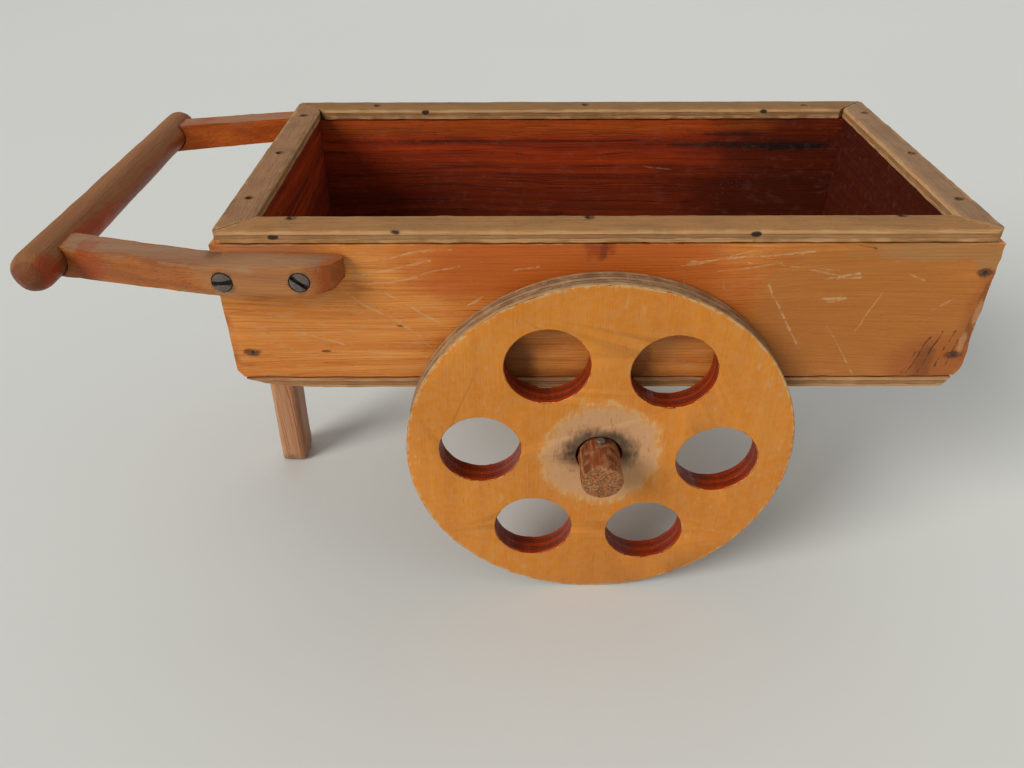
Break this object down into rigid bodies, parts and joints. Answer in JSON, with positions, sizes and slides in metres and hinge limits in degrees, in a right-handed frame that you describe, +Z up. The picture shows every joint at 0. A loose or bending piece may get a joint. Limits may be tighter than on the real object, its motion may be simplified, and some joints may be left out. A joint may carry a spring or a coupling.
{
  "type": "toy wooden handcart",
  "caption": "Open-topped wooden toy cart on two holed disc wheels, with shafts, a handle bar and a rest leg.",
  "frame": {"origin": "on the floor, halfway along the cart's whole length and on the middle plane of the box", "axes": "+X from the handle towards the front end of the box, +Y across it away from the near wheel, +Z up"},
  "size_m": [0.273, 0.1626, 0.1315],
  "materials": {
    "varnished_board": "amber varnish, scratched and worn",
    "bare_plywood": "bare and greyed, with the plies showing at the edge",
    "wheel_plywood": "amber varnish with a worn ring round the bore",
    "dowel_wood": "red-brown varnish, bare end grain",
    "handled_wood": "brown varnish rubbed away by handling",
    "leg_wood": "thin pinkish brown stain",
    "pin_steel": "dull grey nail"
  },
  "bodies": {
    "cart": {"side_board_near": "varnished_board", "side_board_far": "varnished_board", "end_board_handle": "varnished_board", "end_board_front": "varnished_board", "bottom_board": "bare_plywood", "rim_strip_near": "bare_plywood", "rim_strip_far": "bare_plywood", "rim_strip_handle": "bare_plywood", "rim_strip_front": "bare_plywood", "axle": "dowel_wood", "axle_pin_near": "pin_steel", "axle_pin_far": "pin_steel", "axle_block_near": "handled_wood", "axle_block_far": "handled_wood", "shaft_near": "handled_wood", "shaft_far": "handled_wood", "handle_bar": "handled_wood", "leg": "leg_wood"},
    "near_wheel": {"wheel_near": "wheel_plywood"},
    "far_wheel": {"wheel_far": "wheel_plywood"}
  },
  "joints": [
    {"name": "near_wheel_spin", "type": "hinge", "parent": "cart", "child": "near_wheel", "pos_m": [0.0275, -0.0643, 0.06], "axis": [0, 1, 0], "continuous": true},
    {"name": "far_wheel_spin", "type": "hinge", "parent": "cart", "child": "far_wheel", "pos_m": [0.0275, 0.0643, 0.06], "axis": [0, 1, 0], "continuous": true}
  ]
}
